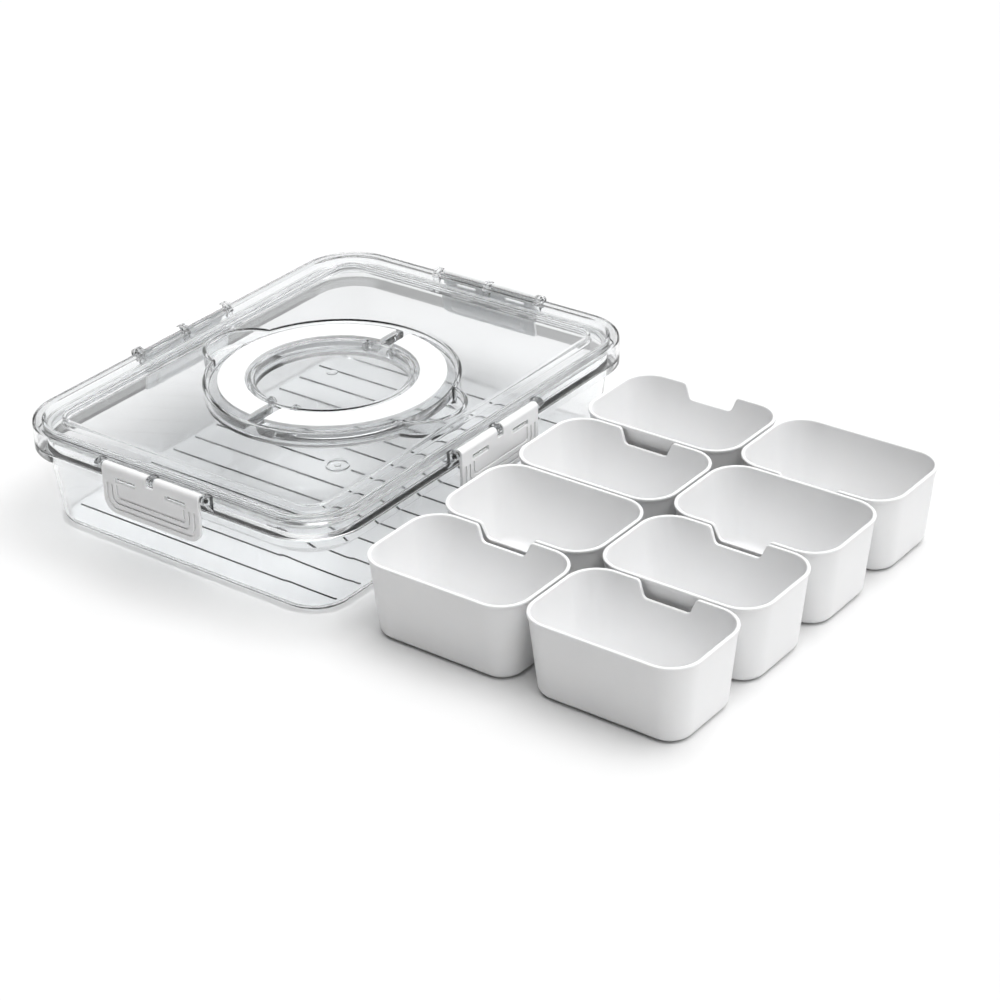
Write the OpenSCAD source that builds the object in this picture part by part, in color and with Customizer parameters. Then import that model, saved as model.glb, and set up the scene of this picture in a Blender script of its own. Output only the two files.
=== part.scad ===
// Parts organizer: a clear carrying case with four side latches and a folding
// ring handle, and a block of eight open bins that stands beside it.
// Millimetres, +Z up. The origin is the centre of the case's flat base.

/* [Case] */
// Outer size of the lid along X
lid_x = 250; // [240:1:280]
// Outer size of the lid along Y
lid_y = 325; // [310:1:380]
// Outer corner radius of the lid
lid_r = 38; // [36:0.5:44]
// Height of the lid's rim above the table
case_h = 69.4; // [69:0.2:80]
// Height of the tub's flange, where the lid meets it
tub_h = 56; // [54:0.5:56]
// Overhang of the flange past the tub's wall
flange_out = 8.5; // [7:0.5:10]
// Inset of the tub's wall from its top to its bottom
tub_draft = 5.5; // [3:0.5:7]
// Thickness of the tub's wall and floor
tub_wall = 2.2; // [1.8:0.1:2.6]
// Number of ribs across the tub's floor
rib_count = 13; // [5:2:13]
// Distance between neighbouring floor ribs
rib_pitch = 21.15; // [18:0.05:21.2]

/* [Lid] */
// Thickness of the lid's walls
lid_wall = 2; // [1.6:0.1:2.2]
// Width of the raised band round the lid's edge
band_w = 8.5; // [8:0.5:10]
// Width of the channel between the band and the raised panel
moat_w = 12; // [10:0.5:14]
// Depth of that channel
moat_depth = 5; // [4:0.5:6]
// Corner radius of the raised panel
panel_r = 13; // [10:0.5:16]
// Inner radius of the ring-shaped trench that holds the handle
trench_in = 51.5; // [50:0.5:52]
// Outer radius of the trench
trench_out = 79; // [79:0.5:84]
// Depth of the trench below the panel
trench_depth = 11.4; // [10:0.1:11.6]
// Distance from the centre to the middle of each finger recess
recess_at = 70.7; // [66:0.1:72]
// Radius of each finger recess
recess_r = 26.3; // [22:0.1:28]

/* [Handle] */
// Inner radius of the clear handle frame
frame_in = 53; // [52.5:0.5:54]
// Outer radius of the clear handle frame
frame_out = 78; // [76:0.5:78]
// Inner radius of the white grip
grip_in = 55; // [54:0.5:58]
// Outer radius of the white grip
grip_out = 72.3; // [68:0.1:75]
// Thickness of the white grip
grip_t = 2.7; // [2:0.1:3]
// Distance from the centre line to each handle hinge
hinge_x = 10; // [9:0.5:12]
// Distance from the hinge to the rounded end of the frame
nose_r = 6.5; // [5:0.1:6.6]
// Radius of the hinge pins
pin_r = 1.8; // [1.5:0.1:1.9]
// Gap round a hinge pin or rod in its bore
run_clear = 0.08; // [0.02:0.01:0.1]

/* [Latches] */
// Width of a latch
latch_w = 77; // [70:1:80]
// Distance from the latch's hinge down to its lower edge
latch_drop = 29.2; // [26:0.1:32]
// Distance between the middles of neighbouring hinge lugs
lug_pitch = 42; // [42:0.5:46]
// Width of a hinge lug
lug_w = 5.2; // [4:0.1:6]
// Outer radius of the latch's barrels
barrel_r = 3; // [2.8:0.1:3.2]
// Radius of the rod that the barrels turn on
rod_r = 1.2; // [1:0.1:1.4]
// Thickness of the latch's flap
flap_t = 2.2; // [1.8:0.1:2.6]
// Radius of the flap's lower corners
flap_r = 9; // [6:0.5:12]

/* [Bins] */
// Length of a bin along X
bin_x = 110; // [90:1:110.6]
// Width of a bin along Y
bin_y = 72; // [60:1:72.6]
// Height of a bin
bin_h = 51.5; // [40:0.5:52]
// Corner radius of a bin's rim
bin_r = 20.2; // [18:0.1:24]
// Inset of a bin's wall from its rim to its base
bin_draft = 5.4; // [3:0.1:6]
// Thickness of a bin's wall
bin_wall = 1.6; // [1.2:0.1:2]
// Distance between bins along X
bin_pitch_x = 111.4; // [111:0.1:120]
// Distance between bins along Y
bin_pitch_y = 73; // [73:0.1:80]
// Width of the finger notch at a bin's rim
notch_w = 38; // [30:1:44]
// Depth of the finger notch
notch_depth = 10; // [6:0.5:14]

/* [Hidden] */
$fn = 96;

eps = 0.5;              // how far a cutter runs past the face it cuts
fillet_steps = 5;       // straight pieces in a moulded fillet

// Colours
clear_col = [0.86, 0.91, 0.94, 0.45];
seal_col = [0.90, 0.90, 0.88];
white_col = [0.95, 0.95, 0.94];

// The case's corner arcs all share the same centres
core_x = lid_x / 2 - lid_r;
core_y = lid_y / 2 - lid_r;

// Tub, as radii about the corner centres
tub_top_r = lid_r - flange_out;
tub_low_r = tub_top_r - tub_draft;
tub_edge = 6;           // radius of the rounded bottom edge
slope_z = tub_h - 11;   // where the flange's sloped underside starts
flange_z = tub_h - 5;   // where it ends
spigot_h = 4.2;         // wall that stands up inside the lid
rib_len = 207;
rib_w = 2;
rib_h = 1.2;
ring_r = 8;
ring_w = 1.4;

// Lid
lid_gap = 0.2;          // between the lid's skirt and the tub's flange
skirt_z = tub_h + lid_gap;
band_in_r = lid_r - band_w;
moat_z = case_h - moat_depth;
moat_low_z = moat_z - lid_wall;
panel_x = lid_x / 2 - band_w - moat_w;
panel_y = lid_y / 2 - band_w - moat_w;
trench_z = case_h - trench_depth;
trench_low_z = trench_z - 1.8;
gate_r = 3.5;           // low disc in the middle of the panel
gate_h = 0.3;

// Seal under the moat, above the tub's wall
seal_z = tub_h + spigot_h + lid_gap;
seal_in_r = tub_top_r - tub_wall - 0.8;
seal_out_r = tub_top_r + 1.8;

// Handle
hinge_z = trench_z + 7;
frame_z = trench_z + 1.6;
frame_top = hinge_z + 2;
frame_h = frame_top - frame_z;
frame_end_x = hinge_x - nose_r;
// the turned-down ends stay this far inside the trench's round wall
frame_end_gap = 0.35;
frame_end_y = sqrt(pow(trench_out, 2) - pow(hinge_x + hinge_z - frame_z, 2)) - frame_end_gap;
grip_end_x = hinge_x - 4.5;
pin_in_y = 45.5;        // where the bores for the pins end
pin_bore_l = 8;
pin_end_gap = 0.5;
pin_l = 12;
boss_w = 11;
boss_in_y = 43;
boss_out_y = pin_in_y + 2.5;
boss_z = trench_z + 2;
boss_top = case_h - 1;

// Latches, in a local frame: U along the case's side, W outward from its face
axis_w = barrel_r + 0.4;
axis_z = case_h - 3.2;
barrel_gap = 0.4;       // from a lug to the barrel beside it
lug_foot = 5;           // reach of the brace under each lug
flap_out_w = axis_w + barrel_r;
flap_z = axis_z - latch_drop;
lug_gap = 0.8;          // from a lug's edge to the flap round it
slot_w = 16;
slot_h = 3.2;
slot_u = 20;
slot_drop = 1.2;        // from the barrel down to the slot
hook_z = flange_z - 4.6;
hook_h = 3.6;
hook_w = 0.25;          // clear space between the hook and the flange's face
groove_w = 1.4;
groove_depth = 0.7;
groove_at = [3, 7, 11]; // insets of the nested grooves
groove_top = axis_z - 9;

// Bins
bin_core_x = bin_x / 2 - bin_r;
bin_core_y = bin_y / 2 - bin_r;
bin_low_r = bin_r - bin_draft;
bin_edge = 6;
bead_h = 2.4;
bead_out = 0.7;
bead_slope = 0.4;
rim_in_r = bin_r - bead_out - bin_wall;
rim_chamfer = 0.6;
notch_foot_r = 4;
notch_slope = 4;        // how far each side of the notch leans in
block_x = 247.5;        // centre of the block of bins
block_y = -3.6;

// Side of the notch in each bin, as +1 or -1 along Y, for rows 1 to 4
near_notch = [1, -1, 1, 1];
far_notch = [1, 1, -1, -1];

// Points on an arc about c, from angle a to angle b
function arc(c, r, a, b) = [
    for (i = [0:fillet_steps])
        let (t = a + (b - a) * i / fillet_steps)
        [c[0] + r * cos(t), c[1] + r * sin(t)]
];

// ---- Shared shapes ----

// Flat slab with rounded corners, cx and cy to the corner centres
module slab(cx, cy, r, z0, z1) {
    translate([0, 0, z0]) linear_extrude(z1 - z0) {
        square([2 * (cx + r), 2 * cy], center = true);
        square([2 * cx, 2 * (cy + r)], center = true);
        for (sx = [-1, 1], sy = [-1, 1]) translate([sx * cx, sy * cy]) circle(r);
    }
}

// A 2D profile (radius from the corner centre, height) swept round a
// rectangle with rounded corners
module swept(cx, cy) {
    for (turn = [0:3]) {
        flip = turn % 2 == 0;
        u = flip ? cx : cy;
        v = flip ? cy : cx;
        rotate([0, 0, 90 * turn]) translate([u, v, 0]) {
            rotate_extrude(angle = 90) children();
            rotate([90, 0, 0]) linear_extrude(2 * v) children();
        }
    }
}

// ---- Tub ----

module tub_profile() {
    polygon(concat(
        [[0, 0]],
        arc([tub_low_r - tub_edge, tub_edge], tub_edge, -90, 0),
        [[tub_top_r, slope_z], [lid_r, flange_z], [lid_r, tub_h]],
        [[tub_top_r, tub_h], [tub_top_r, tub_h + spigot_h]],
        [[tub_top_r - tub_wall, tub_h + spigot_h], [tub_top_r - tub_wall, slope_z]],
        arc([tub_low_r - tub_edge, tub_edge], tub_edge - tub_wall, 0, -90),
        [[0, tub_wall]]
    ));
}

module tub() color(clear_col) {
    swept(core_x, core_y) tub_profile();
    translate([-core_x, -core_y, 0]) cube([2 * core_x, 2 * core_y, tub_wall]);
    for (k = [-(rib_count - 1) / 2:(rib_count - 1) / 2])
        translate([-rib_len / 2, k * rib_pitch - rib_w / 2, tub_wall - eps])
            cube([rib_len, rib_w, rib_h + eps]);
    translate([0, 0, tub_wall - eps]) difference() {
        cylinder(r = ring_r, h = rib_h + eps);
        translate([0, 0, -eps]) cylinder(r = ring_r - ring_w, h = rib_h + 3 * eps);
    }
}

// ---- Lid ----

// Everything inside the trench's outer wall, grown by g
module trench_outline(g) {
    circle(trench_out + g);
    for (sx = [-1, 1]) translate([sx * recess_at, 0]) circle(recess_r + g);
}

// Moulded shell with its raised band, moat and panel, hollow from below
module lid_shell() {
    difference() {
        slab(core_x, core_y, lid_r, skirt_z, case_h);
        // moat, open at the top
        difference() {
            slab(core_x, core_y, band_in_r, moat_z, case_h + eps);
            slab(panel_x - panel_r, panel_y - panel_r, panel_r, moat_z - eps, case_h + 2 * eps);
        }
        // inside of the skirt, under the band
        difference() {
            slab(core_x, core_y, lid_r - lid_wall, skirt_z - eps, case_h - lid_wall);
            slab(core_x, core_y, band_in_r + lid_wall, skirt_z - 2 * eps, case_h);
        }
        // under the moat, then under the panel
        slab(core_x, core_y, band_in_r + lid_wall, skirt_z - eps, moat_low_z);
        slab(panel_x - panel_r, panel_y - panel_r, panel_r - lid_wall,
             skirt_z - eps, case_h - lid_wall);
    }
}

// Pan that hangs below the panel and holds the folded handle
module trench_pan() {
    difference() {
        translate([0, 0, trench_low_z]) linear_extrude(case_h - trench_low_z)
            trench_outline(lid_wall);
        translate([0, 0, trench_low_z - eps])
            cylinder(r = trench_in - lid_wall, h = case_h - lid_wall - trench_low_z + eps);
    }
    // bosses behind the trench's inner wall take the handle's pins
    for (sx = [-1, 1], sy = [-1, 1])
        translate([sx * hinge_x - boss_w / 2, sy > 0 ? boss_in_y : -boss_out_y, boss_z])
            cube([boss_w, boss_out_y - boss_in_y, boss_top - boss_z]);
}

module trench_cut() {
    translate([0, 0, trench_z]) linear_extrude(trench_depth + 2 * eps) difference() {
        trench_outline(0);
        circle(trench_in);
    }
    for (sx = [-1, 1], sy = [-1, 1])
        translate([sx * hinge_x, sy * pin_in_y, hinge_z]) rotate([-90 * sy, 0, 0])
            translate([0, 0, -eps]) cylinder(r = pin_r + run_clear, h = pin_bore_l);
}

// Three lugs and the rod through them, on the case's side
module latch_lugs() {
    for (k = [-1:1]) translate([k * lug_pitch - lug_w / 2, 0, 0]) {
        translate([0, -eps, axis_z - barrel_r]) cube([lug_w, axis_w + eps, 2 * barrel_r]);
        translate([0, axis_w, axis_z]) rotate([0, 90, 0]) cylinder(r = barrel_r, h = lug_w);
        translate([0, 0, axis_z - barrel_r]) rotate([0, 90, 0]) linear_extrude(lug_w)
            polygon([[-eps, -eps], [-eps, axis_w], [0, axis_w], [lug_foot, 0], [lug_foot, -eps]]);
    }
    translate([-lug_pitch, axis_w, axis_z]) rotate([0, 90, 0])
        cylinder(r = rod_r, h = 2 * lug_pitch);
}

module lid() color(clear_col) {
    difference() {
        union() {
            lid_shell();
            trench_pan();
        }
        trench_cut();
    }
    on_each_side() latch_lugs();
    translate([0, 0, case_h - eps]) cylinder(r = gate_r, h = eps + gate_h);
}

// Soft ring under the moat that presses on the tub's wall
module lid_seal() color(seal_col) {
    difference() {
        slab(core_x, core_y, seal_out_r, seal_z, moat_low_z);
        slab(core_x, core_y, seal_in_r, seal_z - eps, moat_low_z + eps);
    }
}

// ---- Latches ----

// Moves a latch, modelled on the XZ plane and facing +Y, to one side of the case
module on_side(turn) {
    rotate([0, 0, 90 * turn])
        translate([0, turn % 2 == 0 ? lid_y / 2 : lid_x / 2, 0]) children();
}

module on_each_side() {
    for (turn = [0:3]) on_side(turn) children();
}

// The flap's outline, inset by g, from the barrels down
module flap_outline(g) {
    half = latch_w / 2 - g;
    low = flap_z + g;
    r = flap_r - g / 2;
    translate([-half, low + r]) square([2 * half, axis_z - low - r]);
    translate([-half + r, low]) square([2 * (half - r), r + eps]);
    for (s = [-1, 1]) translate([s * (half - r), low + r]) circle(r);
}

// A U-shaped line, g in from the flap's edge
module groove_outline(g) {
    difference() {
        flap_outline(g);
        flap_outline(g + groove_w);
        translate([-latch_w / 2, groove_top]) square([latch_w, axis_z - groove_top]);
    }
}

// Turns a 2D outline in U and Z into a plate from w0 to w1
module plate(w0, w1) {
    translate([0, w1, 0]) rotate([90, 0, 0]) linear_extrude(w1 - w0) children();
}

module latch() color(white_col) {
    difference() {
        union() {
            plate(flap_out_w - flap_t, flap_out_w) flap_outline(0);
            for (s = [-1, 1])
                translate([s > 0 ? lug_w / 2 + barrel_gap : -latch_w / 2, axis_w, axis_z])
                    rotate([0, 90, 0])
                        cylinder(r = barrel_r, h = latch_w / 2 - lug_w / 2 - barrel_gap);
            // ridge that snaps under the tub's flange
            translate([-latch_w / 2 + flap_r, hook_w, hook_z])
                cube([latch_w - 2 * flap_r, flap_out_w - flap_t - hook_w + eps, hook_h]);
        }
        translate([-latch_w / 2 - eps, axis_w, axis_z]) rotate([0, 90, 0])
            cylinder(r = rod_r + run_clear, h = latch_w + 2 * eps);
        // room for the middle lug
        translate([-lug_w / 2 - barrel_gap, -eps, axis_z - barrel_r - lug_gap])
            cube([lug_w + 2 * barrel_gap, flap_out_w + 2 * eps, 2 * (barrel_r + lug_gap)]);
        // slots under the barrels
        for (s = [-1, 1])
            translate([s * slot_u - slot_w / 2, axis_w, axis_z - barrel_r - slot_drop - slot_h])
                cube([slot_w, flap_out_w, slot_h]);
        plate(flap_out_w - groove_depth, flap_out_w + eps)
            for (g = groove_at) groove_outline(g);
    }
}

module latch_back() on_side(0) latch();
module latch_left() on_side(1) latch();
module latch_front() on_side(2) latch();
module latch_right() on_side(3) latch();

// ---- Handle ----

// Half ring on the +X side, from z0 to z1, cut off at x = from_x
module half_ring(r_in, r_out, from_x, z0, z1) {
    difference() {
        translate([0, 0, z0]) cylinder(r = r_out, h = z1 - z0);
        translate([0, 0, z0 - eps]) cylinder(r = r_in, h = z1 - z0 + 2 * eps);
        translate([-r_out - eps, -r_out - eps, z0 - eps])
            cube([r_out + eps + from_x, 2 * r_out + 2 * eps, z1 - z0 + 2 * eps]);
    }
}

// Half of the clear frame: its ends are rounded about the hinge line
module frame_body() {
    half_ring(frame_in, frame_out, hinge_x, frame_z, frame_top);
    intersection() {
        half_ring(frame_in, frame_out, frame_end_x, frame_z - eps, frame_top);
        translate([hinge_x, 0, hinge_z]) rotate([90, 0, 0])
            cylinder(r = nose_r, h = 2 * frame_out, center = true);
        translate([0, -frame_out, frame_z]) cube([hinge_x + eps, 2 * frame_out, frame_h + eps]);
    }
}

module handle_frame() color(clear_col) {
    intersection() {
        frame_body();
        translate([0, -frame_end_y, frame_z - eps])
            cube([frame_out + eps, 2 * frame_end_y, frame_h + 2 * eps]);
    }
    for (s = [-1, 1])
        translate([hinge_x, s * (pin_in_y + pin_end_gap), hinge_z]) rotate([-90 * s, 0, 0])
            cylinder(r = pin_r, h = pin_l);
}

module handle_grip() color(white_col)
    half_ring(grip_in, grip_out, grip_end_x, frame_top, frame_top + grip_t);

module handle_frame_right() handle_frame();
module handle_frame_left() mirror([1, 0, 0]) handle_frame();
module handle_grip_right() handle_grip();
module handle_grip_left() mirror([1, 0, 0]) handle_grip();

// ---- Bins ----

module bin_profile() {
    polygon(concat(
        [[0, 0]],
        arc([bin_low_r - bin_edge, bin_edge], bin_edge, -90, 0),
        [[bin_r - bead_out, bin_h - bead_h], [bin_r, bin_h - bead_h + bead_slope]],
        [[bin_r, bin_h - rim_chamfer], [bin_r - rim_chamfer, bin_h]],
        [[rim_in_r + rim_chamfer, bin_h], [rim_in_r, bin_h - rim_chamfer]],
        arc([bin_low_r - bin_edge, bin_edge], bin_edge - bin_wall, 0, -90),
        [[0, bin_wall]]
    ));
}

// Outline of the notch, drawn in X and Z
module notch_outline() {
    foot = notch_w / 2 - notch_slope - notch_foot_r;
    low = bin_h - notch_depth;
    polygon(concat(
        arc([foot, low + notch_foot_r], notch_foot_r, -90, -15),
        [[notch_w / 2, bin_h + eps], [-notch_w / 2, bin_h + eps]],
        arc([-foot, low + notch_foot_r], notch_foot_r, 195, 270)
    ));
}

// One bin, notched on the side that notch_side (+1 or -1) names
module bin(notch_side) color(white_col) {
    difference() {
        union() {
            swept(bin_core_x, bin_core_y) bin_profile();
            translate([-bin_core_x, -bin_core_y, 0])
                cube([2 * bin_core_x, 2 * bin_core_y, bin_wall]);
        }
        translate([0, notch_side > 0 ? bin_y / 2 + eps : 0, 0]) rotate([90, 0, 0])
            linear_extrude(bin_y / 2 + eps) notch_outline();
    }
}

// Puts a bin in column 0 or 1 and row 1 to 4 of the block
module placed_bin(column, row, notch_side) {
    translate([block_x + (column - 0.5) * bin_pitch_x, block_y + (row - 2.5) * bin_pitch_y, 0])
        bin(notch_side);
}

// ---- Nodes ----

tub();
lid();
lid_seal();
latch_front();
latch_back();
latch_left();
latch_right();
handle_frame_left();
handle_frame_right();
handle_grip_left();
handle_grip_right();
for (row = [1:4]) {
    placed_bin(0, row, near_notch[row - 1]);
    placed_bin(1, row, far_notch[row - 1]);
}
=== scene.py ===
"""Parts organizer: a clear carrying case with latches and a folding ring
handle, and eight white bins beside it. Mesh helpers take millimetres and
build in metres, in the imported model's own frame."""

import math

import bmesh
import bpy
from mathutils import Matrix, Vector


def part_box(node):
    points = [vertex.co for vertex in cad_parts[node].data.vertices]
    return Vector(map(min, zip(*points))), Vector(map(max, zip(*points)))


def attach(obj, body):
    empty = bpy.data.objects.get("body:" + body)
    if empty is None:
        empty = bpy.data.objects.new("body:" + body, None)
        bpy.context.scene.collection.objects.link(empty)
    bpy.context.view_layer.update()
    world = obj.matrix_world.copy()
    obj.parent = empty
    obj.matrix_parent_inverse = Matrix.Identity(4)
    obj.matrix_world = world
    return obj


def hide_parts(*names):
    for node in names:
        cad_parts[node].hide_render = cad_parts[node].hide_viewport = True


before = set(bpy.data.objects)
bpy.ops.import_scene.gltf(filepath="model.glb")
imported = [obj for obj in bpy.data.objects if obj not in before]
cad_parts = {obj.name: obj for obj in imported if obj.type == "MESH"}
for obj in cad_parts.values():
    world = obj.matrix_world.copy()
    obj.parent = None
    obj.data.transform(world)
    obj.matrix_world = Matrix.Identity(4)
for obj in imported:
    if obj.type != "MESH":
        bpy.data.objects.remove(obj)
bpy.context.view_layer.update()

MM = 0.001


def box_mm(node):
    """A CAD node's lowest and highest corners, in millimetres."""
    low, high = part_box(node)
    return Vector(low) / MM, Vector(high) / MM


# ---------------------------------------------------------------- sizes, mm

TUB_HIGH = box_mm("tub")[1]
SEAL_LOW, SEAL_HIGH = box_mm("lid_seal")
HALF_X, HALF_Y = TUB_HIGH.x, TUB_HIGH.y

EDGE_R = 38.0                     # corner radius of the lid and the tub's flange
CORE_X, CORE_Y = HALF_X - EDGE_R, HALF_Y - EDGE_R
SKIN = 2.0                        # wall of the lid
TUB_SKIN = 2.2
SPIGOT_Z = TUB_HIGH.z             # top of the wall that stands up inside the lid
FLANGE_TOP = SPIGOT_Z - 4.2
FLANGE_LOW = FLANGE_TOP - 5.0
SLOPE_Z = FLANGE_TOP - 11.0
WALL_TOP_R = EDGE_R - 8.5
WALL_LOW_R = WALL_TOP_R - 5.5
TOP_Z = 69.4                      # lid's band and panel
SKIRT_Z = FLANGE_TOP + 0.2
BAND_IN_R = EDGE_R - 8.5
MOAT_Z = TOP_Z - 5.0
PANEL_X, PANEL_Y = HALF_X - 20.5, HALF_Y - 20.5
PANEL_R = 13.0
TRENCH_OUT, TRENCH_IN = 79.0, 51.5
TRENCH_Z = TOP_Z - 11.4
TRENCH_LOW = TRENCH_Z - 1.8
RECESS_AT, RECESS_R = 70.7, 26.3
GATE_R, GATE_H = 3.5, 0.3         # moulding mark in the middle of the panel
SEAL_IN_R = BAND_IN_R - 3.0

RIB_COUNT, RIB_PITCH = 13, 21.15
RIB_LENGTH, RIB_W, RIB_H = 207.0, 2.0, 0.8
RING_R, RING_W = 8.0, 1.4

HINGE_X, HINGE_Z = 10.0, TRENCH_Z + 7.0
NOSE_R = 6.5
FRAME_IN, FRAME_OUT = 53.0, 78.0
FRAME_LOW, FRAME_TOP = TRENCH_Z + 1.6, HINGE_Z + 2.0
FRAME_END_Y = 77.12               # the ends stay inside the trench as they turn down
GRIP_IN, GRIP_OUT = 55.0, 72.3
GRIP_TOP, GRIP_END_X = FRAME_TOP + 2.7, HINGE_X - 4.5
GRIP_CROWN, GRIP_FLAT = 0.35, 9.0
PIN_R, PIN_IN_Y, PIN_OUT_Y = 1.8, 46.0, 53.5
SOCKET_R, SOCKET_BORE_R = 3.2, 1.88
SOCKET_IN_Y, SOCKET_OUT_Y = 45.4, 49.4

AXIS_W, AXIS_Z = 3.4, 66.2        # latch hinge: outward from the lid's side, height
BARREL_R, ROD_R, BORE_R = 3.0, 1.2, 1.28
LUG_PITCH, LUG_W = 42.0, 5.2
LUG_HIGH, LUG_LOW = 69.2, 57.6    # where a lug's slopes meet the lid's side
LUG_SIDE_GAP, LUG_UNDER_GAP = 0.4, 0.8
BARREL_GAP_W = LUG_W / 2 + LUG_SIDE_GAP
LATCH_W = 77.0
FLAP_LOW = AXIS_Z - 29.2
FLAP_OUT_W = AXIS_W + BARREL_R
FLAP_T, FLAP_CORNER = 2.2, 9.0
SLOT_W, SLOT_H, SLOT_U, SLOT_DROP = 16.0, 3.2, 20.0, 1.2
GROOVE_W, GROOVE_DEPTH = 1.4, 0.9
GROOVE_AT, GROOVE_TOP = (3.0, 7.0, 11.0), AXIS_Z - 9.0
HOOK_W, HOOK_Z, HOOK_H = 0.25, FLANGE_LOW - 4.6, 3.6

BIN_R, BIN_DRAFT, BIN_WALL = 20.2, 5.4, 1.6
BIN_EDGE = 6.0
BEAD_H, BEAD_OUT = 2.4, 0.7
NOTCH_W, NOTCH_FOOT, NOTCH_DEPTH = 38.0, 30.0, 10.0

BINS = {                          # side of each bin's notch along Y
    "bin_near_1": 1, "bin_near_2": -1, "bin_near_3": 1, "bin_near_4": 1,
    "bin_far_1": 1, "bin_far_2": 1, "bin_far_3": -1, "bin_far_4": -1,
}


# ------------------------------------------------------------ mesh helpers

def rounded(points, steps=4, closed=False):
    """The polyline through (a, b, radius) points, with its corners rounded."""
    out = []
    last = len(points) - 1
    for i, (a, b, radius) in enumerate(points):
        if radius == 0 or (i in (0, last) and not closed):
            out.append((a, b))
            continue
        here = Vector((a, b))
        back = (Vector(points[i - 1][:2]) - here).normalized()
        ahead = (Vector(points[(i + 1) % len(points)][:2]) - here).normalized()
        half = back.angle(ahead) / 2
        centre = here + (back + ahead).normalized() * (radius / math.sin(half))
        reach = radius / math.tan(half)
        v0, v1 = here + back * reach - centre, here + ahead * reach - centre
        turn = v0.angle(v1)
        for k in range(steps + 1):
            t = k / steps
            v = (v0 * math.sin((1 - t) * turn) + v1 * math.sin(t * turn)) / math.sin(turn)
            out.append(tuple(centre + v))
    return out


def spread(a, b, count):
    """count + 1 values from a to b."""
    return [a + (b - a) * i / count for i in range(count + 1)]


def outline(cx, cy, x_marks, y_marks, arc_steps):
    """Samples round a rectangle with rounded corners, as (point, outward
    normal) on its core rectangle; marks run from -1 to 1 along each side."""
    samples = []
    corners = [(cx, cy, 0), (-cx, cy, 90), (-cx, -cy, 180), (cx, -cy, 270)]
    sides = [
        [(cx, cy * m) for m in y_marks], [(-cx * m, cy) for m in x_marks],
        [(-cx, -cy * m) for m in y_marks], [(cx * m, -cy) for m in x_marks],
    ]
    for (px, py, start), side in zip(corners, sides):
        a = math.radians(start)
        normal = Vector((math.cos(a), math.sin(a)))
        samples += [(Vector(p), normal) for p in side]
        for k in range(1, arc_steps):
            t = math.radians(start + 90 * k / arc_steps)
            samples.append((Vector((px, py)), Vector((math.cos(t), math.sin(t)))))
    return samples


def at_radius(samples, r, z):
    return [Vector((p.x + n.x * r, p.y + n.y * r, z)) for p, n in samples]


def circle(r, z, count):
    turn = 2 * math.pi / count
    return [Vector((r * math.cos(i * turn), r * math.sin(i * turn), z)) for i in range(count)]


def add_rings(bm, loops, shut=False):
    """Rings of vertices joined by quads; the last joins the first if shut."""
    rings = [[bm.verts.new(p * MM) for p in loop] for loop in loops]
    pairs = list(zip(rings, rings[1:] + ([rings[0]] if shut else [])))
    for low, high in pairs:
        n = len(low)
        for i in range(n):
            j = (i + 1) % n
            bm.faces.new((low[i], low[j], high[j], high[i]))
    return rings


def fill_between(bm, rings):
    """Flat face round and between closed rings of vertices."""
    edges = []
    for ring in rings:
        for a, b in zip(ring, ring[1:] + ring[:1]):
            edges.append(bm.edges.get((a, b)) or bm.edges.new((a, b)))
    bmesh.ops.triangle_fill(bm, edges=edges, use_beauty=True, use_dissolve=False)


def finish_mesh(name, bm, material, sharp=40.0):
    """Turns a bmesh into a smooth-shaded object."""
    bmesh.ops.recalc_face_normals(bm, faces=bm.faces)
    mesh = bpy.data.meshes.new(name)
    bm.to_mesh(mesh)
    bm.free()
    mesh.shade_smooth()
    mesh.set_sharp_from_angle(angle=math.radians(sharp))
    mesh.materials.append(material)
    obj = bpy.data.objects.new(name, mesh)
    bpy.context.scene.collection.objects.link(obj)
    weighted = obj.modifiers.new("even_faces", "WEIGHTED_NORMAL")
    weighted.keep_sharp = True
    return obj


def settle(obj, body, slot, *nodes):
    """Rides obj on a body and hides the CAD nodes it stands for; slot is not used."""
    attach(obj, body)
    if nodes:
        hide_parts(*nodes)
    return obj


def add_plate(bm, outer, holes, depth, bevel, place):
    """A flat plate with rounded edges: outer and holes are 2D outlines, the
    plate runs from 0 to depth along local Z, and place maps it to mm."""
    curve = bpy.data.curves.new("plate", "CURVE")
    curve.dimensions = "2D"
    curve.fill_mode = "BOTH"
    curve.extrude = (depth / 2 - bevel) * MM
    curve.bevel_depth = bevel * MM
    curve.bevel_resolution = 2
    curve.offset = -bevel * MM
    for points in [outer] + holes:
        spline = curve.splines.new("POLY")
        spline.points.add(len(points) - 1)
        for target, (a, b) in zip(spline.points, points):
            target.co = (a * MM, b * MM, 0, 1)
        spline.use_cyclic_u = True
    carrier = bpy.data.objects.new("plate", curve)
    mesh = bpy.data.meshes.new_from_object(carrier)
    lift = Matrix.Translation((0, 0, depth / 2 * MM))
    mesh.transform(place @ lift)
    bm.from_mesh(mesh)
    bpy.data.objects.remove(carrier)
    bpy.data.curves.remove(curve)
    bpy.data.meshes.remove(mesh)


def frame_of(x_axis, y_axis, origin):
    """Matrix that sends local X and Y to these axes, with origin in mm."""
    z_axis = Vector(x_axis).cross(Vector(y_axis))
    m = Matrix((x_axis, y_axis, z_axis)).transposed().to_4x4()
    return Matrix.Translation(Vector(origin) * MM) @ m


# --------------------------------------------------------------- materials

def new_material(name):
    material = bpy.data.materials.new(name)
    material.use_nodes = True
    nodes, links = material.node_tree.nodes, material.node_tree.links
    shader = nodes["Principled BSDF"]
    place = nodes.new("ShaderNodeTexCoord").outputs["Object"]
    return material, nodes, links, shader, place


def noise(nodes, links, place, scale, detail=2.0):
    texture = nodes.new("ShaderNodeTexNoise")
    texture.inputs["Scale"].default_value = scale
    texture.inputs["Detail"].default_value = detail
    links.new(place, texture.inputs["Vector"])
    return texture.outputs["Fac"]


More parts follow.
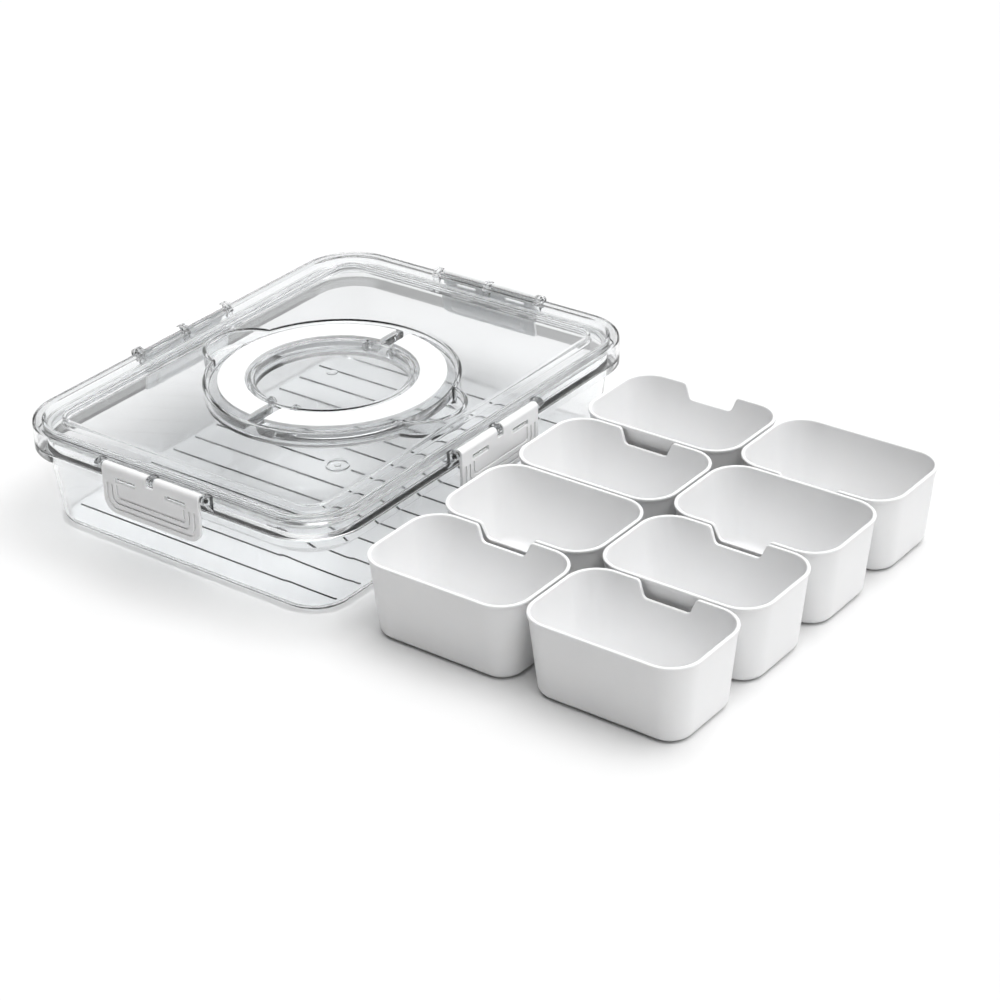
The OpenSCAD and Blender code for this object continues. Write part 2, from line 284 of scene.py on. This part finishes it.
def remap(nodes, links, value, low, high):
    ramp = nodes.new("ShaderNodeMapRange")
    ramp.inputs["From Min"].default_value = 0.3
    ramp.inputs["From Max"].default_value = 0.7
    ramp.inputs["To Min"].default_value = low
    ramp.inputs["To Max"].default_value = high
    links.new(value, ramp.inputs["Value"])
    return ramp.outputs["Result"]


def blend_colours(nodes, links, value, dark, light):
    ramp = nodes.new("ShaderNodeValToRGB")
    ramp.color_ramp.elements[0].position = 0.35
    ramp.color_ramp.elements[0].color = (*dark, 1)
    ramp.color_ramp.elements[1].position = 0.65
    ramp.color_ramp.elements[1].color = (*light, 1)
    links.new(value, ramp.inputs["Fac"])
    return ramp.outputs["Color"]


def add_bump(nodes, links, shader, height, strength, distance):
    bump = nodes.new("ShaderNodeBump")
    bump.inputs["Strength"].default_value = strength
    bump.inputs["Distance"].default_value = distance
    links.new(height, bump.inputs["Height"])
    links.new(bump.outputs["Normal"], shader.inputs["Normal"])


def clear_plastic():
    """Polished clear plastic: cool tint, faint flow waves, tiny haze, and a
    low index so that its thick edges stay light."""
    material, nodes, links, shader, place = new_material("clear_plastic")
    waves = noise(nodes, links, place, 14.0, 3.0)
    haze = noise(nodes, links, place, 60.0)
    tint = blend_colours(nodes, links, waves, (0.982, 0.989, 0.994), (0.988, 0.994, 0.998))
    links.new(tint, shader.inputs["Base Color"])
    links.new(remap(nodes, links, haze, 0.015, 0.05), shader.inputs["Roughness"])
    shader.inputs["IOR"].default_value = 1.38
    shader.inputs["Specular IOR Level"].default_value = 0.35
    shader.inputs["Transmission Weight"].default_value = 1.0
    add_bump(nodes, links, shader, waves, 0.12, 0.0006)
    return material


def white_plastic():
    """White moulded polypropylene: satin, with a fine spark-eroded grain."""
    material, nodes, links, shader, place = new_material("white_plastic")
    cloud = noise(nodes, links, place, 22.0, 3.0)
    grain = noise(nodes, links, place, 2600.0, 2.0)
    colour = blend_colours(nodes, links, cloud, (0.832, 0.834, 0.838), (0.852, 0.853, 0.855))
    links.new(colour, shader.inputs["Base Color"])
    links.new(remap(nodes, links, cloud, 0.36, 0.46), shader.inputs["Roughness"])
    shader.inputs["Subsurface Weight"].default_value = 0.12
    shader.inputs["Subsurface Radius"].default_value = (1.0, 0.95, 0.9)
    shader.inputs["Subsurface Scale"].default_value = 0.002
    add_bump(nodes, links, shader, grain, 0.12, 0.00008)
    return material


def silicone():
    """Milky gasket, soft and slightly see-through."""
    material, nodes, links, shader, place = new_material("silicone")
    cloud = noise(nodes, links, place, 90.0)
    colour = blend_colours(nodes, links, cloud, (0.86, 0.87, 0.87), (0.92, 0.925, 0.925))
    links.new(colour, shader.inputs["Base Color"])
    links.new(remap(nodes, links, cloud, 0.42, 0.55), shader.inputs["Roughness"])
    shader.inputs["Transmission Weight"].default_value = 0.6
    shader.inputs["IOR"].default_value = 1.41
    return material


def pale_floor():
    """Matt studio sweep."""
    material, nodes, links, shader, place = new_material("floor")
    cloud = noise(nodes, links, place, 1.5)
    colour = blend_colours(nodes, links, cloud, (0.745, 0.745, 0.745), (0.755, 0.755, 0.755))
    links.new(colour, shader.inputs["Base Color"])
    shader.inputs["Roughness"].default_value = 0.9
    shader.inputs["Specular IOR Level"].default_value = 0.1
    return material


CLEAR, WHITE, SILICONE = clear_plastic(), white_plastic(), silicone()

# --------------------------------------------------------------------- tub

SIDE_X = spread(-1, 1, 86)
SIDE_Y = spread(-1, 1, 124)
CASE_LINE = outline(CORE_X, CORE_Y, SIDE_X, SIDE_Y, 16)


def stadium(length, width, z, y, steps=8):
    """Closed loop of a bar with round ends, along X at y."""
    r = width / 2
    loop = []
    for side, start in ((1, -90), (-1, 90)):
        for k in range(steps + 1):
            t = math.radians(start + 180 * k / steps)
            loop.append(Vector((side * (length / 2 - r) + r * math.cos(t), y + r * math.sin(t), z)))
    return loop


def tub_shell():
    profile = rounded([
        (6.0, 0.0, 0), (WALL_LOW_R, 0.0, 6.0), (WALL_TOP_R, SLOPE_Z, 3.0),
        (EDGE_R, FLANGE_LOW, 1.2), (EDGE_R, FLANGE_TOP, 0.8),
        (WALL_TOP_R, FLANGE_TOP, 0.5), (WALL_TOP_R, SPIGOT_Z, 0.7),
        (WALL_TOP_R - TUB_SKIN, SPIGOT_Z, 0.7), (WALL_TOP_R - TUB_SKIN, SLOPE_Z, 3.0),
        (WALL_LOW_R - TUB_SKIN + 0.1, TUB_SKIN, 3.8), (17.4, TUB_SKIN, 0),
    ])
    bm = bmesh.new()
    rings = add_rings(bm, [at_radius(CASE_LINE, r, z) for r, z in profile])
    bm.faces.new(reversed(rings[0]))
    islands = [rings[-1]]
    for k in range(RIB_COUNT):
        y = (k - (RIB_COUNT - 1) / 2) * RIB_PITCH
        if y == 0:
            for sign in (-1, 1):
                islands.append(floor_rib(bm, sign * (RING_R + 3 + RIB_LENGTH / 2) / 2,
                                         RIB_LENGTH / 2 - RING_R - 3, y))
        else:
            islands.append(floor_rib(bm, 0.0, RIB_LENGTH, y))
    islands.append(floor_ring(bm))
    fill_between(bm, islands)
    return finish_mesh("tub_shell", bm, CLEAR)


def floor_rib(bm, x, length, y):
    """One rounded rib; returns its lowest ring, on the floor."""
    section = rounded([(0.0, 0.0, 0), (0.5, RIB_H, 0.5), (RIB_W / 2 - 0.1, RIB_H, 0)], steps=3)
    loops = []
    for inset, rise in section:
        loop = stadium(length - 2 * inset, RIB_W - 2 * inset, TUB_SKIN + rise, y)
        loops.append([p + Vector((x, 0, 0)) for p in loop])
    rings = add_rings(bm, loops)
    bm.faces.new(rings[-1])
    return rings[0]


def floor_ring(bm):
    """Ring round the moulding gate in the middle of the floor."""
    section = [(RING_R, 0), (RING_R - 0.2, 0.8), (RING_R - RING_W + 0.2, 0.8),
               (RING_R - RING_W, 0.0), (2.2, 0.0), (1.9, 0.7)]
    rings = add_rings(bm, [circle(r, TUB_SKIN + z, 48) for r, z in section])
    bm.faces.new(rings[-1])
    return rings[0]


settle(tub_shell(), "case", "clear_plastic", "tub")

# --------------------------------------------------------------------- lid

PANEL_LINE = outline(PANEL_X - PANEL_R, PANEL_Y - PANEL_R, SIDE_X, SIDE_Y, 16)
ANGLES = [math.atan2(p.y, p.x) for p in at_radius(PANEL_LINE, PANEL_R, 0)]


def trench_loop(grow, z):
    """The trench's outer wall with its two finger recesses, grown outward."""
    loop = []
    for a in ANGLES:
        rho = TRENCH_OUT + grow
        reach = (RECESS_R + grow) ** 2 - (RECESS_AT * math.sin(a)) ** 2
        if reach > 0:
            rho = max(rho, RECESS_AT * abs(math.cos(a)) + math.sqrt(reach))
        loop.append(Vector((rho * math.cos(a), rho * math.sin(a), z)))
    return loop


def ring_loop(r, z):
    return [Vector((r * math.cos(a), r * math.sin(a), z)) for a in ANGLES]


def lid_shell():
    """One closed shell, lofted from the underside's middle, out round the
    skirt, and back over the top to the middle of the panel."""
    under, moat_under = TOP_Z - SKIN, MOAT_Z - SKIN
    loops = []
    loops += [ring_loop(r, z) for r, z in rounded([
        (4.0, under, 0), (TRENCH_IN - SKIN, under, 1.0), (TRENCH_IN - SKIN, TRENCH_LOW, 0.6),
        (TRENCH_IN + 2, TRENCH_LOW, 0)])]
    loops += [trench_loop(g, z) for g, z in rounded([
        (-3, TRENCH_LOW, 0), (SKIN, TRENCH_LOW, 2.0), (SKIN, under, 0.8), (3.0, under, 0)])]
    loops += [at_radius(PANEL_LINE, r, z) for r, z in rounded([
        (9.8, under, 0), (PANEL_R - SKIN, under, 1.0), (PANEL_R - SKIN, moat_under, 1.0),
        (PANEL_R + 1.5, moat_under, 0)])]
    loops += [at_radius(CASE_LINE, r, z) for r, z in rounded([
        (25.0, moat_under, 0), (BAND_IN_R + SKIN, moat_under, 0.8),
        (BAND_IN_R + SKIN, under, 0.8), (EDGE_R - SKIN, under, 0.8),
        (EDGE_R - SKIN, SKIRT_Z, 0.4), (EDGE_R, SKIRT_Z, 0.5), (EDGE_R, TOP_Z, 2.4),
        (BAND_IN_R, TOP_Z, 1.6), (BAND_IN_R, MOAT_Z, 1.2), (26.0, MOAT_Z, 0)])]
    loops += [at_radius(PANEL_LINE, r, z) for r, z in rounded([
        (PANEL_R + 3.0, MOAT_Z, 0), (PANEL_R, MOAT_Z, 1.0), (PANEL_R, TOP_Z, 1.2),
        (11.6, TOP_Z, 0)])]
    loops += [trench_loop(g, z) for g, z in rounded([
        (1.2, TOP_Z, 0), (0.0, TOP_Z, 0.9), (0.0, TRENCH_Z, 1.8), (-3.0, TRENCH_Z, 0)])]
    loops += [ring_loop(r, z) for r, z in rounded([
        (TRENCH_IN + 3, TRENCH_Z, 0), (TRENCH_IN, TRENCH_Z, 1.5), (TRENCH_IN, TOP_Z, 0.9),
        (GATE_R, TOP_Z, 0.15), (GATE_R - 0.2, TOP_Z + GATE_H, 0.1), (1.2, TOP_Z + GATE_H, 0)])]
    bm = bmesh.new()
    rings = add_rings(bm, loops)
    bm.faces.new(reversed(rings[0]))
    bm.faces.new(rings[-1])
    return finish_mesh("lid_shell", bm, CLEAR)


def side_frame(turn):
    """Matrix of one side of the case: local X along it, Y outward, Z up."""
    depth = HALF_Y if turn % 2 == 0 else HALF_X
    return Matrix.Rotation(math.radians(90 * turn), 4, "Z") @ Matrix.Translation((0, depth * MM, 0))


def rod_loops(sections, axis_point, along, across, count=32):
    """Loops of a bar or tube: (radius, distance) sections along a line, in mm."""
    side = Vector(along).cross(Vector(across))
    loops = []
    for r, d in sections:
        loop = []
        for i in range(count):
            t = 2 * math.pi * i / count
            spoke = Vector(across) * math.cos(t) + side * math.sin(t)
            loop.append(Vector(axis_point) + Vector(along) * d + spoke * r)
        loops.append(loop)
    return loops


def lid_lugs():
    """The moulded lugs and rods that the latches turn on, on all four sides."""
    lug = rounded([
        (-0.6, LUG_HIGH, 0), (AXIS_W, AXIS_Z + BARREL_R, 0),
        (AXIS_W + BARREL_R, AXIS_Z + BARREL_R, BARREL_R - 0.05),
        (AXIS_W + BARREL_R, AXIS_Z - BARREL_R, BARREL_R - 0.05),
        (AXIS_W, AXIS_Z - BARREL_R, 0.5), (-0.6, LUG_LOW, 0)], steps=8)
    bm = bmesh.new()
    for turn in range(4):
        part = bmesh.new()
        for k in (-1, 0, 1):
            place = frame_of((0, 1, 0), (0, 0, 1), (k * LUG_PITCH - LUG_W / 2, 0, 0))
            add_plate(part, lug, [], LUG_W, 0.5, place)
        rings = add_rings(part, rod_loops([(ROD_R, -LUG_PITCH), (ROD_R, LUG_PITCH)],
                                          (0, AXIS_W, AXIS_Z), (1, 0, 0), (0, 1, 0)))
        part.faces.new(rings[0])
        part.faces.new(rings[-1])
        part.transform(side_frame(turn))
        mesh = bpy.data.meshes.new("part")
        part.to_mesh(mesh)
        part.free()
        bm.from_mesh(mesh)
        bpy.data.meshes.remove(mesh)
    return finish_mesh("lid_lugs", bm, CLEAR)


def lid_gasket():
    section = rounded([
        (SEAL_HIGH.x - CORE_X, SEAL_LOW.z, 0.6), (SEAL_HIGH.x - CORE_X, SEAL_HIGH.z, 0.6),
        (SEAL_IN_R, SEAL_HIGH.z, 0.6), (SEAL_IN_R, SEAL_LOW.z, 0.6)],
        steps=3, closed=True)
    bm = bmesh.new()
    add_rings(bm, [at_radius(CASE_LINE, r, z) for r, z in section], shut=True)
    return finish_mesh("lid_gasket", bm, SILICONE)


def pin_sockets():
    """Thick-walled sockets under the panel that take the handle's pins."""
    bm = bmesh.new()
    for sx in (-1, 1):
        for sy in (-1, 1):
            section = [(SOCKET_BORE_R, SOCKET_IN_Y), (SOCKET_R - 0.2, SOCKET_IN_Y),
                       (SOCKET_R, SOCKET_IN_Y + 0.3), (SOCKET_R, SOCKET_OUT_Y),
                       (SOCKET_BORE_R, SOCKET_OUT_Y)]
            loops = rod_loops(section, (sx * HINGE_X, 0, HINGE_Z), (0, sy, 0), (1, 0, 0))
            add_rings(bm, loops, shut=True)
    return finish_mesh("pin_sockets", bm, CLEAR)


settle(lid_shell(), "lid", "clear_plastic", "lid")
settle(lid_lugs(), "lid", "clear_plastic")
settle(pin_sockets(), "lid", "clear_plastic")
settle(lid_gasket(), "lid", "silicone", "lid_seal")

# ------------------------------------------------------------------ handle

ARC_STEPS = 72


def half_ring(name, section, end_x, material, bevel, pins=False):
    """Half ring on the +X side. section is a closed list of (radius, z) and
    end_x(z) says where the ends are cut, so that they can be rounded."""
    bm = bmesh.new()
    n = len(section)
    rows = []
    for k in range(ARC_STEPS + 1):
        t = -1 + 2 * k / ARC_STEPS
        row = []
        for rho, z in section:
            a = t * math.acos(end_x(z) / rho)
            y = max(-FRAME_END_Y, min(FRAME_END_Y, rho * math.sin(a)))
            row.append(bm.verts.new(Vector((rho * math.cos(a), y, z)) * MM))
        rows.append(row)
    for low, high in zip(rows, rows[1:]):
        for i in range(n):
            j = (i + 1) % n
            bm.faces.new((low[i], low[j], high[j], high[i]))
    half = n // 2
    for row in (rows[0], rows[-1]):
        for i in range(half - 1):
            bm.faces.new((row[i], row[i + 1], row[n - 2 - i], row[n - 1 - i]))
    if pins:
        for sy in (-1, 1):
            profile = [(PIN_R - 0.4, PIN_IN_Y), (PIN_R, PIN_IN_Y + 0.4), (PIN_R, PIN_OUT_Y)]
            loops = rod_loops(profile, (HINGE_X, 0, HINGE_Z), (0, sy, 0), (1, 0, 0))
            rings = add_rings(bm, loops)
            bm.faces.new(rings[0])
            bm.faces.new(rings[-1])
    obj = finish_mesh(name, bm, material, 35.0)
    rim = obj.modifiers.new("rounded_edges", "BEVEL")
    rim.width = bevel * MM
    rim.segments = 3
    rim.limit_method = "ANGLE"
    rim.angle_limit = math.radians(50)
    rim.harden_normals = False
    obj.modifiers.move(1, 0)
    return obj


def frame_section():
    """Inner wall upward, then outer wall downward."""
    heights = spread(FRAME_LOW, FRAME_TOP, 8)
    return [(FRAME_IN, z) for z in heights] + [(FRAME_OUT, z) for z in reversed(heights)]


def grip_section():
    """The same for the grip, whose top is slightly crowned."""
    shoulder, top_z = GRIP_TOP - GRIP_CROWN, GRIP_TOP - 0.03
    middle = (GRIP_IN + GRIP_OUT) / 2
    inner = [(GRIP_IN, FRAME_TOP), (GRIP_IN, shoulder)]
    top = [(middle - GRIP_FLAT / 2, top_z), (middle + GRIP_FLAT / 2, top_z)]
    outer = [(GRIP_OUT, shoulder), (GRIP_OUT, FRAME_TOP)]
    return inner + top + outer


def nose_x(z):
    return HINGE_X - math.sqrt(NOSE_R ** 2 - (z - HINGE_Z) ** 2)


def mirrored(obj):
    """Turns a +X half into the -X half."""
    for v in obj.data.vertices:
        v.co.x = -v.co.x
    obj.data.flip_normals()
    return obj


for side in ("right", "left"):
    clear = half_ring(f"frame_{side}", frame_section(), nose_x, CLEAR, 0.7, pins=True)
    white = half_ring(f"grip_{side}", grip_section(), lambda z: GRIP_END_X, WHITE, 0.8)
    if side == "left":
        mirrored(clear)
        mirrored(white)
    settle(clear, f"handle_{side}", "clear_plastic", f"handle_frame_{side}")
    settle(white, f"handle_{side}", "white_plastic", f"handle_grip_{side}")

# ----------------------------------------------------------------- latches


def flap_shape(inset, top):
    """The flap's outline, in from its edge, with round lower corners."""
    half, low = LATCH_W / 2 - inset, FLAP_LOW + inset
    r = max(FLAP_CORNER - inset * 0.6, 2.0)
    return rounded([(-half, top, 0.4), (-half, low, r), (half, low, r), (half, top, 0.4)],
                   steps=8, closed=True)


def with_notch(shape, top):
    """Cuts the room for the middle lug into a flap outline's upper edge."""
    half, low = BARREL_GAP_W, AXIS_Z - BARREL_R - LUG_UNDER_GAP
    notch = rounded([(half, top, 0), (half, low, 1.2), (-half, low, 1.2), (-half, top, 0)])
    return shape + notch


def u_groove(inset):
    """A U-shaped groove, open towards the flap's hinge."""
    half, low = LATCH_W / 2 - inset, FLAP_LOW + inset
    r = max(FLAP_CORNER - inset * 0.6, 2.0)
    w = GROOVE_W
    return rounded([
        (-half, GROOVE_TOP, 0.4), (-half, low, r), (half, low, r), (half, GROOVE_TOP, 0.4),
        (half - w, GROOVE_TOP, 0.4), (half - w, low + w, r - w / 2),
        (w - half, low + w, r - w / 2), (w - half, GROOVE_TOP, 0.4)], steps=8, closed=True)


def latch(name, turn):
    slot_top = AXIS_Z - BARREL_R - SLOT_DROP
    slots = []
    for s in (-1, 1):
        x0, x1 = s * SLOT_U - SLOT_W / 2, s * SLOT_U + SLOT_W / 2
        slots.append(rounded([(x0, slot_top, 0.6), (x0, slot_top - SLOT_H, 0.6),
                              (x1, slot_top - SLOT_H, 0.6), (x1, slot_top, 0.6)], closed=True))
    bm = bmesh.new()
    out = (0, 0, 1)
    plate_top = AXIS_Z - 1.6

    def upright(w):
        return frame_of((-1, 0, 0), out, (0, w, 0))

    base = with_notch(flap_shape(0, plate_top), plate_top)
    add_plate(bm, base, slots, FLAP_T - GROOVE_DEPTH, 0.3, upright(FLAP_OUT_W - FLAP_T))
    outer = with_notch(flap_shape(0, AXIS_Z - 0.5), AXIS_Z - 0.5)
    face = GROOVE_DEPTH + 0.4
    add_plate(bm, outer, slots + [u_groove(inset) for inset in GROOVE_AT], face, 0.25,
              upright(FLAP_OUT_W - face))
    for s in (-1, 1):
        near, far = BARREL_GAP_W, LATCH_W / 2
        section = [(BORE_R, near), (BARREL_R - 0.5, near), (BARREL_R - 0.15, near + 0.15),
                   (BARREL_R, near + 0.5), (BARREL_R, far - 0.5), (BARREL_R - 0.15, far - 0.15),
                   (BARREL_R - 0.5, far), (BORE_R, far)]
        loops = rod_loops(section, (0, AXIS_W, AXIS_Z), (s, 0, 0), (0, 1, 0), 40)
        add_rings(bm, loops, shut=True)
    hook = rounded([(HOOK_W, HOOK_Z + 1.6, 0.5), (HOOK_W, HOOK_Z + HOOK_H, 0.4),
                    (FLAP_OUT_W - 2.0, HOOK_Z + HOOK_H, 0), (FLAP_OUT_W - 2.0, HOOK_Z - 1.4, 0)],
                   closed=True)
    length = LATCH_W - 2 * FLAP_CORNER
    add_plate(bm, hook, [], length, 0.15, frame_of((0, 1, 0), out, (-length / 2, 0, 0)))
    bm.transform(side_frame(turn))
    return finish_mesh(name, bm, WHITE)


for turn, side in enumerate(("back", "left", "front", "right")):
    settle(latch(f"flap_{side}", turn), f"latch_{side}", "white_plastic", f"latch_{side}")

# -------------------------------------------------------------------- bins


def bin_piece(name, notch_side):
    """A drafted tub with a rolled rim that dips into the finger notch."""
    low, high = box_mm(name)
    middle, half = (low + high) / 2, (high - low) / 2
    height = high.z
    cx, cy = half.x - BIN_R, half.y - BIN_R
    low_r, top_r = BIN_R - BIN_DRAFT, BIN_R - BEAD_OUT
    foot_z = height - NOTCH_DEPTH
    dip = rounded([
        (-NOTCH_W / 2 - 6, height, 0), (-NOTCH_W / 2, height, 2.5), (-NOTCH_FOOT / 2, foot_z, 3.5),
        (NOTCH_FOOT / 2, foot_z, 3.5), (NOTCH_W / 2, height, 2.5), (NOTCH_W / 2 + 6, height, 0)],
        steps=6)
    inner = [x for x, z in dip]
    marks = spread(-cx, dip[0][0], 4)[:-1] + inner + spread(dip[-1][0], cx, 4)[1:]
    line = outline(cx, cy, [x / cx for x in marks], spread(-1, 1, 10), 14)
    rims = []
    for p, n in line:
        rim = height
        if n.y * notch_side > 0.999 and p.y * notch_side > 0:
            for (x0, z0), (x1, z1) in zip(dip, dip[1:]):
                if x0 <= p.x <= x1 and x1 > x0:
                    rim = z0 + (z1 - z0) * (p.x - x0) / (x1 - x0)
        rims.append(rim)

    def wall_r(z):
        return low_r + (top_r - low_r) * max(z - BIN_EDGE, 0) / (height - BIN_EDGE)

    def ring(inset, place):
        """place gives (height, extra radius) for one rim height."""
        loop = []
        for (p, n), rim in zip(line, rims):
            z, extra = place(rim)
            r = wall_r(z) + extra - inset
            loop.append(Vector((middle.x + p.x + n.x * r, middle.y + p.y + n.y * r, z)))
        return loop

    def flat(r, z):
        return [Vector((middle.x + q.x, middle.y + q.y, q.z)) for q in at_radius(line, r, z)]

    loops = [flat(r, z) for r, z in rounded(
        [(3.0, 0.4, 0), (low_r - 8.0, 0.4, 0.3), (low_r - 7.4, 0.0, 0.3), (low_r, 0.0, 5.6),
         (low_r + 0.02, BIN_EDGE + 0.4, 0)], steps=5)]
    for f in (0.25, 0.5, 0.75, 1.0):
        loops.append(ring(0, lambda rim, f=f: (
            BIN_EDGE + 0.5 + f * (rim - BEAD_H - BIN_EDGE - 0.5), 0.0)))
    for drop, extra in ((BEAD_H - 0.15, BEAD_OUT * 0.55), (BEAD_H - 0.5, BEAD_OUT),
                        (0.9, BEAD_OUT), (0.35, BEAD_OUT - 0.12), (0.1, BEAD_OUT - 0.4),
                        (0.0, BEAD_OUT - 0.8)):
        loops.append(ring(0, lambda rim, d=drop, e=extra: (rim - d, e)))
    for drop, extra in ((0.0, 0.6), (0.12, 0.28), (0.4, 0.08), (0.9, 0.0)):
        loops.append(ring(BIN_WALL, lambda rim, d=drop, e=extra: (rim - d, e)))
    for f in (0.8, 0.55, 0.3, 0.0):
        loops.append(ring(BIN_WALL, lambda rim, f=f: (
            BIN_EDGE + 0.5 + f * (rim - 1.0 - BIN_EDGE - 0.5), 0.0)))
    loops += [flat(r, z) for r, z in rounded(
        [(low_r - BIN_WALL, BIN_EDGE + 0.3, 0), (low_r - BIN_WALL, BIN_WALL, 4.4),
         (3.0, BIN_WALL, 0)], steps=6)]
    bm = bmesh.new()
    rings = add_rings(bm, loops)
    bm.faces.new(reversed(rings[0]))
    bm.faces.new(rings[-1])
    return finish_mesh(f"{name}_cup", bm, WHITE, 50.0)


for bin_name, notch_side in BINS.items():
    settle(bin_piece(bin_name, notch_side), bin_name, "white_plastic", bin_name)

# ------------------------------------------------------------------- stage


def add_floor():
    size = 30.0
    bm = bmesh.new()
    bmesh.ops.create_grid(bm, x_segments=2, y_segments=2, size=size)
    mesh = bpy.data.meshes.new("floor")
    bm.to_mesh(mesh)
    bm.free()
    mesh.materials.append(pale_floor())
    floor = bpy.data.objects.new("floor", mesh)
    floor.location = (0, 0, -0.0002)
    bpy.context.scene.collection.objects.link(floor)


def soft_sky():
    """Studio light as one smooth sky: a bright softbox overhead, a soft glow
    from the right and behind, and very little light from the front."""
    world = bpy.data.worlds.new("studio")
    bpy.context.scene.world = world
    world.use_nodes = True
    nodes, links = world.node_tree.nodes, world.node_tree.links
    nodes.clear()
    where = nodes.new("ShaderNodeTexCoord").outputs["Generated"]

    def lobe(direction, start, end, low, high):
        """Strength that rises smoothly towards a direction."""
        dot = nodes.new("ShaderNodeVectorMath")
        dot.operation = "DOT_PRODUCT"
        dot.inputs[1].default_value = Vector(direction).normalized()
        links.new(where, dot.inputs[0])
        ramp = nodes.new("ShaderNodeMapRange")
        ramp.interpolation_type = "SMOOTHSTEP"
        for key, value in (("From Min", start), ("From Max", end),
                           ("To Min", low), ("To Max", high)):
            ramp.inputs[key].default_value = value
        links.new(dot.outputs["Value"], ramp.inputs["Value"])
        return ramp.outputs["Result"]

    total = nodes.new("ShaderNodeMath")
    total.operation = "ADD"
    links.new(lobe((0.6, 0.8, 0.0), -0.5, 0.9, 0.03, 0.93), total.inputs[0])
    links.new(lobe((0.15, 0.1, 0.98), 0.72, 0.97, 0.0, 4.8), total.inputs[1])
    background = nodes.new("ShaderNodeBackground")
    links.new(total.outputs["Value"], background.inputs["Strength"])
    output = nodes.new("ShaderNodeOutputWorld")
    links.new(background.outputs["Background"], output.inputs["Surface"])


def add_camera():
    azimuth, elevation, roll = (math.radians(d) for d in (38.92, 28.91, -2.39))
    back = Vector((math.sin(azimuth) * math.cos(elevation),
                   -math.cos(azimuth) * math.cos(elevation), math.sin(elevation)))
    right = Vector((math.cos(azimuth), math.sin(azimuth), 0))
    up = back.cross(right)
    rolled_right = right * math.cos(roll) + up * math.sin(roll)
    rolled_up = up * math.cos(roll) - right * math.sin(roll)
    data = bpy.data.cameras.new("camera")
    data.sensor_width = 36.0
    data.lens = 97.15
    data.shift_x, data.shift_y = 0.0695, 0.0051
    data.clip_start, data.clip_end = 0.05, 100.0
    camera = bpy.data.objects.new("camera", data)
    turn = Matrix((rolled_right, rolled_up, back)).transposed().to_4x4()
    camera.matrix_world = Matrix.Translation((1.0025, -1.1488, 0.8130)) @ turn
    bpy.context.scene.collection.objects.link(camera)
    bpy.context.scene.camera = camera


add_floor()
soft_sky()
add_camera()
scene = bpy.context.scene
scene.view_settings.view_transform = "Standard"
scene.cycles.max_bounces = 16
scene.cycles.transmission_bounces = 16
scene.cycles.glossy_bounces = 6
scene.cycles.blur_glossy = 0.0         # lets the sky shine through the clear walls
